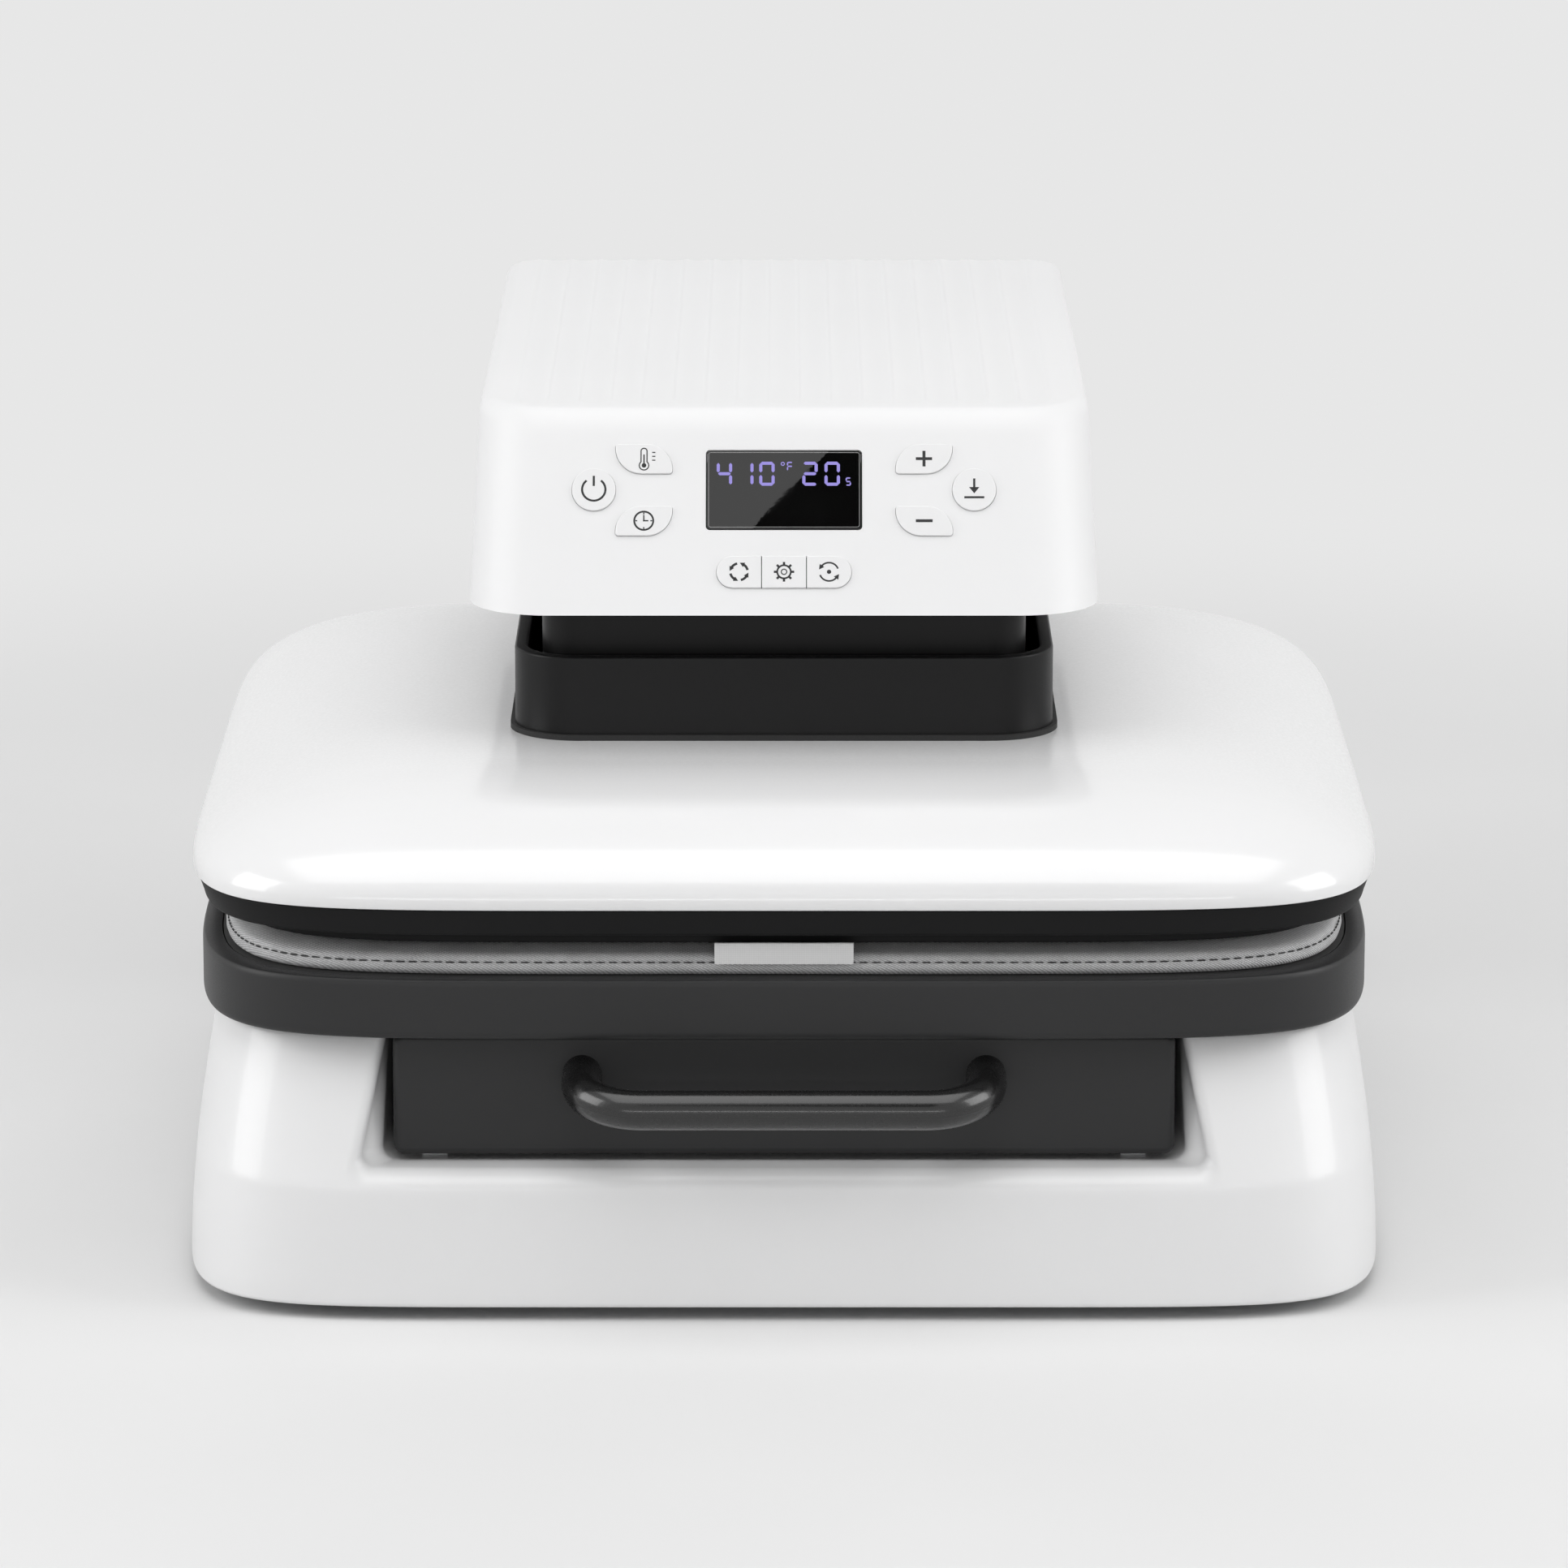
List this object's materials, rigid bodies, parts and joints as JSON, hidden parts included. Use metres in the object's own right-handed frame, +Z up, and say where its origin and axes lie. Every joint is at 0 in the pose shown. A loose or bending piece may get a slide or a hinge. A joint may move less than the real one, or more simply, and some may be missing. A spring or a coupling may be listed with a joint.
{
  "type": "automatic heat press",
  "caption": "Motorised heat press with a domed heated platen, a leaning control panel on a fluted head and a pull-out drawer bed with a padded mat.",
  "frame": {"origin": "on the floor under the middle of the machine's box", "axes": "+Z up, front with handle and control panel at -Y, +X to the right seen from the front"},
  "size_m": [0.4396, 0.5271, 0.3065],
  "materials": {
    "white_gloss": "high gloss",
    "white_satin": "satin",
    "key_white": "fine satin",
    "charcoal": "fine matt",
    "handle_black": "satin",
    "soft_black": "matt",
    "inlet_black": "satin",
    "display_glass": "polished",
    "mat_fabric": "twill",
    "tab_fabric": "woven ribbon",
    "silicone": "matt",
    "steel": "zinc plated",
    "cast_alloy": "satin",
    "element_metal": "oxidised",
    "brass": "turned",
    "motor_metal": "satin",
    "board_green": "lacquered",
    "module_black": "matt",
    "insulation": "felted"
  },
  "bodies": {
    "root": {"base_shell": "white_gloss", "head_cover": "white_satin", "head_pan": "white_satin", "column_cover": "white_satin", "inner_shroud": "charcoal", "feet": "soft_black", "power_inlet": "inlet_black", "display_window": "display_glass", "bottom_plate": "steel", "base_screws": "steel", "column_frame": "steel", "frame_screws": "steel", "head_frame": "steel", "thrust_bearing": "steel", "outer_rails": "steel", "inlet_pins": "steel", "guide_bushes": "brass", "gear_motor": "motor_metal", "control_board": "board_green", "power_board": "board_green", "display_module": "module_black"},
    "platen": {"platen_cover": "white_gloss", "collar": "charcoal", "collar_gasket": "soft_black", "platen_rim": "charcoal", "heat_plate": "cast_alloy", "heating_element": "element_metal", "thermostat": "brass", "insulation": "insulation", "plate_spacers": "steel", "pressure_plate": "steel", "guide_posts": "steel", "nut_tower": "steel", "lead_nut": "brass"},
    "screw": {"lead_screw": "steel"},
    "drawer": {"tray": "charcoal", "silicone_pad": "silicone", "mat": "mat_fabric", "mat_tab": "tab_fabric", "drawer_front": "charcoal", "drawer_carriage": "steel", "handle": "handle_black", "handle_screws": "steel", "inner_rails": "steel"},
    "mid_slides": {"mid_rails": "steel"},
    "power_key_body": {"power_key": "key_white"},
    "start_key_body": {"start_key": "key_white"},
    "temperature_key_body": {"temperature_key": "key_white"},
    "timer_key_body": {"timer_key": "key_white"},
    "plus_key_body": {"plus_key": "key_white"},
    "minus_key_body": {"minus_key": "key_white"},
    "cycle_key_body": {"cycle_key": "key_white"},
    "settings_key_body": {"settings_key": "key_white"},
    "auto_key_body": {"auto_key": "key_white"}
  },
  "joints": [
    {"name": "platen_lift", "type": "slide", "parent": "root", "child": "platen", "axis": [0, 0, 1], "range_m": [-0.0009, 0.032]},
    {"name": "screw_turn", "type": "hinge", "parent": "root", "child": "screw", "pos_m": [0, -0.02138, 0.2], "axis": [0, 0, 1], "range_deg": [-45, 1445]},
    {"name": "drawer_slide", "type": "slide", "parent": "root", "child": "drawer", "axis": [0, -1, 0], "range_m": [0, 0.3]},
    {"name": "mid_slide", "type": "slide", "parent": "root", "child": "mid_slides", "axis": [0, -1, 0], "range_m": [0, 0.15]},
    {"name": "power_key_press", "type": "slide", "parent": "root", "child": "power_key_body", "axis": [0, 0.891, -0.454], "range_m": [0, 0.001], "stiffness_N_per_m": 900, "springref_m": -0.0003},
    {"name": "start_key_press", "type": "slide", "parent": "root", "child": "start_key_body", "axis": [0, 0.891, -0.454], "range_m": [0, 0.001], "stiffness_N_per_m": 900, "springref_m": -0.0003},
    {"name": "temperature_key_press", "type": "slide", "parent": "root", "child": "temperature_key_body", "axis": [0, 0.891, -0.454], "range_m": [0, 0.001], "stiffness_N_per_m": 900, "springref_m": -0.0003},
    {"name": "timer_key_press", "type": "slide", "parent": "root", "child": "timer_key_body", "axis": [0, 0.891, -0.454], "range_m": [0, 0.001], "stiffness_N_per_m": 900, "springref_m": -0.0003},
    {"name": "plus_key_press", "type": "slide", "parent": "root", "child": "plus_key_body", "axis": [0, 0.891, -0.454], "range_m": [0, 0.001], "stiffness_N_per_m": 900, "springref_m": -0.0003},
    {"name": "minus_key_press", "type": "slide", "parent": "root", "child": "minus_key_body", "axis": [0, 0.891, -0.454], "range_m": [0, 0.001], "stiffness_N_per_m": 900, "springref_m": -0.0003},
    {"name": "cycle_key_press", "type": "slide", "parent": "root", "child": "cycle_key_body", "axis": [0, 0.891, -0.454], "range_m": [0, 0.001], "stiffness_N_per_m": 900, "springref_m": -0.0003},
    {"name": "settings_key_press", "type": "slide", "parent": "root", "child": "settings_key_body", "axis": [0, 0.891, -0.454], "range_m": [0, 0.001], "stiffness_N_per_m": 900, "springref_m": -0.0003},
    {"name": "auto_key_press", "type": "slide", "parent": "root", "child": "auto_key_body", "axis": [0, 0.891, -0.454], "range_m": [0, 0.001], "stiffness_N_per_m": 900, "springref_m": -0.0003}
  ],
  "couplings": [
    {"joint": "screw_turn", "follows": "platen_lift", "rad_per_m": 785.4},
    {"joint": "mid_slide", "follows": "drawer_slide", "ratio": 0.5}
  ]
}
